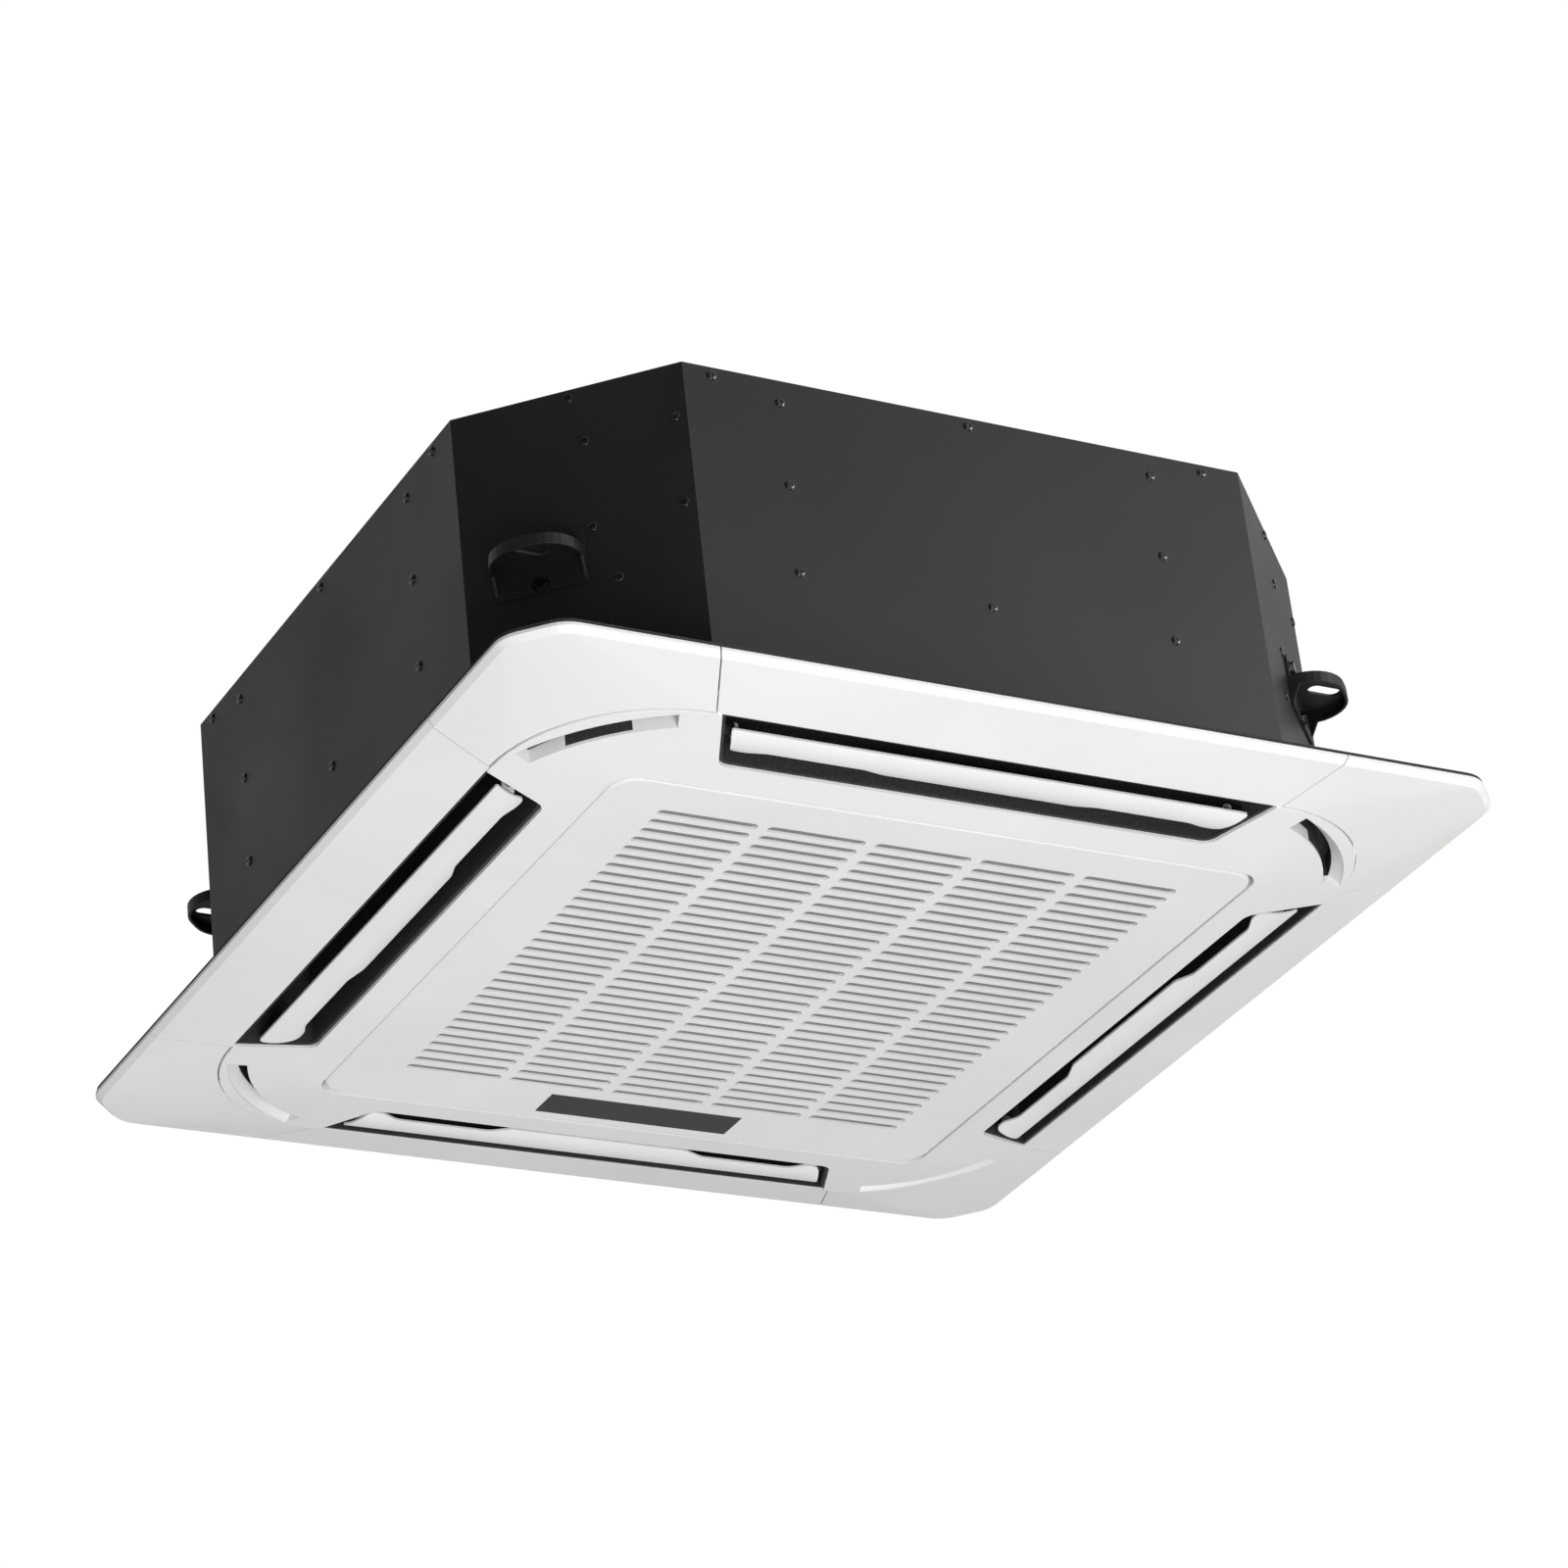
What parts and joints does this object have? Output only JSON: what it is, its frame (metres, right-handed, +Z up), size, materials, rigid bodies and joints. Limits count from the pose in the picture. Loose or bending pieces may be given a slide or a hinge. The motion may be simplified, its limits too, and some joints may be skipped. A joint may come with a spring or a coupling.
{
  "type": "ceiling cassette air conditioner",
  "caption": "Square ceiling cassette unit: steel casing with hanger plates above, panel with slotted intake, swinging louvers and a smoked window below, and a fan and coil inside.",
  "frame": {"origin": "midway between the four hanging rods, on the underside of the slotted hanger plates", "axes": "+Z up towards the ceiling slab; +Y towards the display window's side of the intake grille; +X towards the side where the pipes leave"},
  "size_m": [0.95, 0.95, 0.3435],
  "materials": {
    "dark_steel": "matt black powder coat on sheet steel",
    "zinc": "zinc plated",
    "white_plastic": "fine satin moulding",
    "dark_plastic": "matt moulding",
    "dark_foam": "closed-cell foam",
    "white_foam": "expanded foam beads",
    "copper": "drawn copper tube",
    "brass": "machined",
    "fins": "stack of thin fins",
    "board": "lacquered circuit board",
    "filter": "fine mesh in a moulded frame",
    "smoked": "smoked, glossy",
    "motor_case": "cast motor case",
    "step_case": "plain steel can"
  },
  "bodies": {
    "casing": {"top_plate": "dark_steel", "side_panel_front": "dark_steel", "side_panel_right": "dark_steel", "side_panel_back": "dark_steel", "side_panel_left": "dark_steel", "side_insulation": "white_foam", "top_insulation": "white_foam", "hanger_brackets": "dark_steel", "bracket_bolts": "zinc", "casing_screws": "zinc", "pipe_plate": "dark_steel", "heat_exchanger": "fins", "coil_end_plates": "zinc", "coil_bends": "copper", "gas_pipe": "copper", "liquid_pipe": "copper", "flare_nuts": "brass", "drain_pan": "white_foam", "bell_mouth": "dark_plastic", "fan_motor": "motor_case", "motor_rubbers": "dark_foam", "motor_bolts": "zinc", "pump_housing": "white_plastic", "pump_motor": "dark_plastic", "drain_spout": "white_plastic", "float_guide": "dark_plastic", "control_box": "zinc", "control_cover": "zinc", "circuit_board": "board", "terminal_block": "dark_plastic", "cable_gland": "dark_plastic", "panel_frame": "white_plastic", "corner_cover_1": "white_plastic", "corner_cover_2": "white_plastic", "corner_cover_3": "white_plastic", "corner_cover_4": "white_plastic", "panel_gasket": "dark_foam", "outlet_ducts": "dark_foam", "panel_screws": "zinc", "louver_motor_front": "step_case", "louver_motor_right": "step_case", "louver_motor_back": "step_case", "louver_motor_left": "step_case", "louver_bushes": "dark_plastic"},
    "fan": {"fan_impeller": "dark_plastic", "fan_shaft": "zinc", "fan_nut": "zinc"},
    "pump_rotor": {"pump_impeller": "white_plastic"},
    "float_body": {"float": "white_plastic"},
    "vane_front": {"louver_front": "white_plastic"},
    "vane_right": {"louver_right": "white_plastic"},
    "vane_back": {"louver_back": "white_plastic"},
    "vane_left": {"louver_left": "white_plastic"},
    "grille_door": {"grille": "white_plastic", "hinge_pins": "zinc", "grille_catches": "dark_plastic", "air_filter": "filter", "display_window": "smoked", "receiver_board": "board", "receiver_housing": "dark_plastic"}
  },
  "joints": [
    {"name": "grille_hinge", "type": "hinge", "parent": "casing", "child": "grille_door", "pos_m": [0, 0.29, -0.1757], "axis": [1, 0, 0], "range_deg": [0, 90]},
    {"name": "louver_front_swing", "type": "hinge", "parent": "casing", "child": "vane_front", "pos_m": [0, -0.376, -0.162], "axis": [1, 0, 0], "range_deg": [0, 45]},
    {"name": "louver_right_swing", "type": "hinge", "parent": "casing", "child": "vane_right", "pos_m": [0.376, 0, -0.162], "axis": [0, 1, 0], "range_deg": [0, 45]},
    {"name": "louver_back_swing", "type": "hinge", "parent": "casing", "child": "vane_back", "pos_m": [0, 0.376, -0.162], "axis": [-1, 0, 0], "range_deg": [0, 45]},
    {"name": "louver_left_swing", "type": "hinge", "parent": "casing", "child": "vane_left", "pos_m": [-0.376, 0, -0.162], "axis": [0, -1, 0], "range_deg": [0, 45]},
    {"name": "fan_spin", "type": "hinge", "parent": "casing", "child": "fan", "pos_m": [0, 0, 0.02], "axis": [0, 0, 1], "continuous": true},
    {"name": "pump_spin", "type": "hinge", "parent": "casing", "child": "pump_rotor", "pos_m": [0.3, 0.3, -0.1], "axis": [0, 0, 1], "continuous": true},
    {"name": "float_rise", "type": "slide", "parent": "casing", "child": "float_body", "axis": [0, 0, 1], "range_m": [0, 0.012]}
  ]
}
